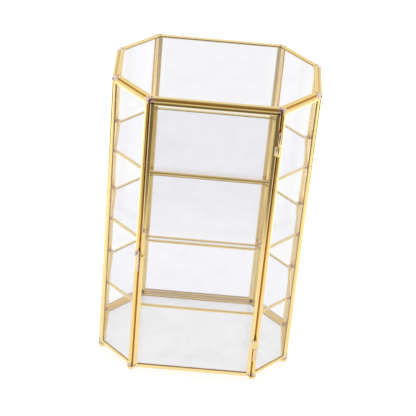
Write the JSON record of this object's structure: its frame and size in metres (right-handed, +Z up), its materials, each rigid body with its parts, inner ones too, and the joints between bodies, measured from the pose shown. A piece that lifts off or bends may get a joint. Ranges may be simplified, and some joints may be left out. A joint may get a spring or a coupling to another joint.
{
  "type": "glass jewelry box",
  "caption": "Tall eight-sided clear glass jewelry box with brass edging, inner glass shelves, a hinged front door with a swing hook, and ball feet.",
  "frame": {"origin": "Middle of the case in plan, on the surface that the ball feet stand on", "axes": "+Z up, the door faces -Y, +X to the right of someone who faces the door"},
  "size_m": [0.1734, 0.1164, 0.2853],
  "materials": {
    "brass": "polished brass strip, lacquered",
    "clear_glass": "clear float glass, cut edges hidden in the edging",
    "solder": "tin solder under a warm lacquer"
  },
  "bodies": {
    "case": {"top_glass": "clear_glass", "top_frame": "brass", "base_glass": "clear_glass", "base_frame": "brass", "back_glass": "clear_glass", "back_frame": "brass", "left_glass": "clear_glass", "left_frame": "brass", "right_glass": "clear_glass", "right_frame": "brass", "front_left_glass": "clear_glass", "front_left_frame": "brass", "front_right_glass": "clear_glass", "front_right_frame": "brass", "back_left_glass": "clear_glass", "back_left_frame": "brass", "back_right_glass": "clear_glass", "back_right_frame": "brass", "shelf_low_glass": "clear_glass", "shelf_low_frame": "brass", "shelf_mid_glass": "clear_glass", "shelf_mid_frame": "brass", "shelf_high_glass": "clear_glass", "shelf_high_frame": "brass", "foot_1": "brass", "foot_2": "brass", "foot_3": "brass", "foot_4": "brass", "foot_5": "brass", "foot_6": "brass", "foot_7": "brass", "foot_8": "brass", "top_solder": "solder", "shelf_solder": "solder", "hinge_upper_case_tube": "solder", "hinge_upper_pin": "brass", "hinge_lower_case_tube": "solder", "hinge_lower_pin": "brass", "latch_stud": "solder"},
    "door": {"door_glass": "clear_glass", "door_frame": "brass", "hinge_upper_door_tube": "solder", "hinge_lower_door_tube": "solder", "latch_pivot": "solder"},
    "hook": {"latch_hook": "brass"}
  },
  "joints": [
    {"name": "door_swing", "type": "hinge", "parent": "case", "child": "door", "pos_m": [0.0544, -0.05738, 0.14], "axis": [0, 0, 1], "range_deg": [0, 175]},
    {"name": "hook_swing", "type": "hinge", "parent": "door", "child": "hook", "pos_m": [-0.051, -0.0581, 0.155], "axis": [0, 1, 0], "range_deg": [-150, 12.93]}
  ]
}
